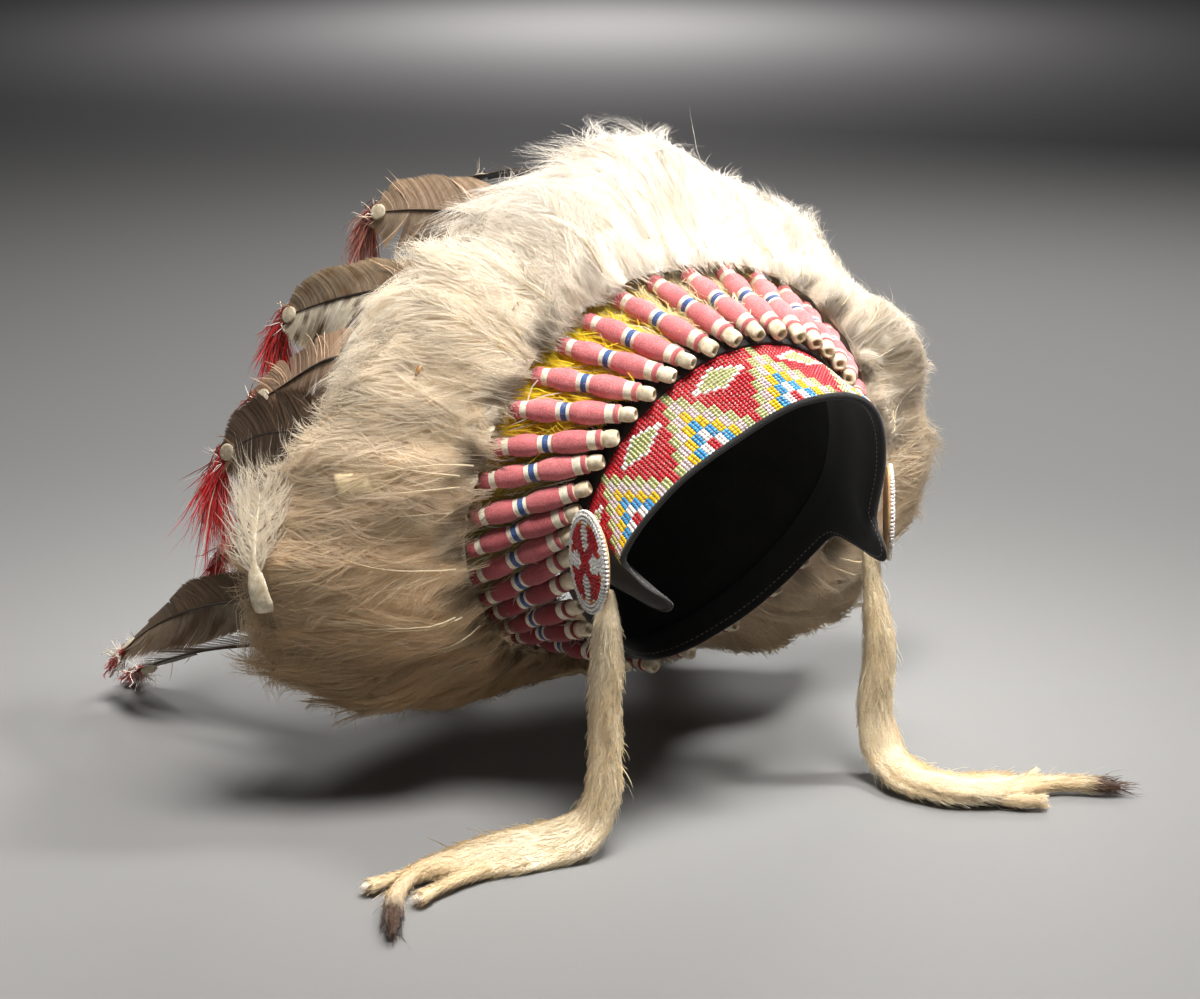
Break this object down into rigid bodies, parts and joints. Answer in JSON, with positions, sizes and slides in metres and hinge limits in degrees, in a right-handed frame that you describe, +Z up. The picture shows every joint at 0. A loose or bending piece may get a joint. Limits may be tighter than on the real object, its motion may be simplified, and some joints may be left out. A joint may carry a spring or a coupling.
{
  "type": "feathered headdress",
  "caption": "Plains-style war bonnet: felt cap, beaded brow band, wool-wrapped quills, white plumes, eagle feathers, rosettes and ermine drops.",
  "frame": {"origin": "inside top of the felt cap, where the wearer's crown carries the bonnet", "axes": "+Z up; the wearer faces -Y; +X is the wearer's left"},
  "size_m": [0.4609, 0.463, 0.3293],
  "materials": {
    "black_felt": "matt wool felt with a bound edge",
    "beadwork": "opaque glossy glass seed beads",
    "rose_wool": "matt rose wool cloth bound with cream and blue thread",
    "eagle_feather": "feather vane with a low sheen",
    "white_plume": "soft down",
    "ermine_fur": "short dense cream fur"
  },
  "bodies": {
    "root": {"brow_band": "beadwork", "eagle_feather_left_01": "eagle_feather", "eagle_feather_left_03": "eagle_feather", "eagle_feather_left_05": "eagle_feather", "eagle_feather_left_07": "eagle_feather", "eagle_feather_left_09": "eagle_feather", "eagle_feather_left_11": "eagle_feather", "eagle_feather_left_13": "eagle_feather", "eagle_feather_right_00": "eagle_feather", "eagle_feather_right_01": "eagle_feather", "eagle_feather_right_03": "eagle_feather", "eagle_feather_right_05": "eagle_feather", "eagle_feather_right_07": "eagle_feather", "eagle_feather_right_09": "eagle_feather", "eagle_feather_right_11": "eagle_feather", "eagle_feather_right_13": "eagle_feather", "eagle_feather_right_18": "eagle_feather", "ermine_left": "ermine_fur", "ermine_right": "ermine_fur", "felt_band": "black_felt", "plume_ruff": "white_plume", "quill_wrap_left_01": "rose_wool", "quill_wrap_left_02": "rose_wool", "quill_wrap_left_03": "rose_wool", "quill_wrap_left_04": "rose_wool", "quill_wrap_left_05": "rose_wool", "quill_wrap_left_06": "rose_wool", "quill_wrap_left_07": "rose_wool", "quill_wrap_left_08": "rose_wool", "quill_wrap_left_09": "rose_wool", "quill_wrap_left_10": "rose_wool", "quill_wrap_left_11": "rose_wool", "quill_wrap_left_12": "rose_wool", "quill_wrap_left_13": "rose_wool", "quill_wrap_left_14": "rose_wool", "quill_wrap_left_15": "rose_wool", "quill_wrap_left_16": "rose_wool", "quill_wrap_left_17": "rose_wool", "quill_wrap_right_00": "rose_wool", "quill_wrap_right_01": "rose_wool", "quill_wrap_right_02": "rose_wool", "quill_wrap_right_03": "rose_wool", "quill_wrap_right_04": "rose_wool", "quill_wrap_right_05": "rose_wool", "quill_wrap_right_06": "rose_wool", "quill_wrap_right_07": "rose_wool", "quill_wrap_right_08": "rose_wool", "quill_wrap_right_09": "rose_wool", "quill_wrap_right_10": "rose_wool", "quill_wrap_right_11": "rose_wool", "quill_wrap_right_12": "rose_wool", "quill_wrap_right_13": "rose_wool", "quill_wrap_right_14": "rose_wool", "quill_wrap_right_15": "rose_wool", "quill_wrap_right_16": "rose_wool", "quill_wrap_right_17": "rose_wool", "quill_wrap_right_18": "rose_wool", "rosette_left": "beadwork", "rosette_right": "beadwork", "skull_cap": "black_felt"}
  },
  "joints": []
}
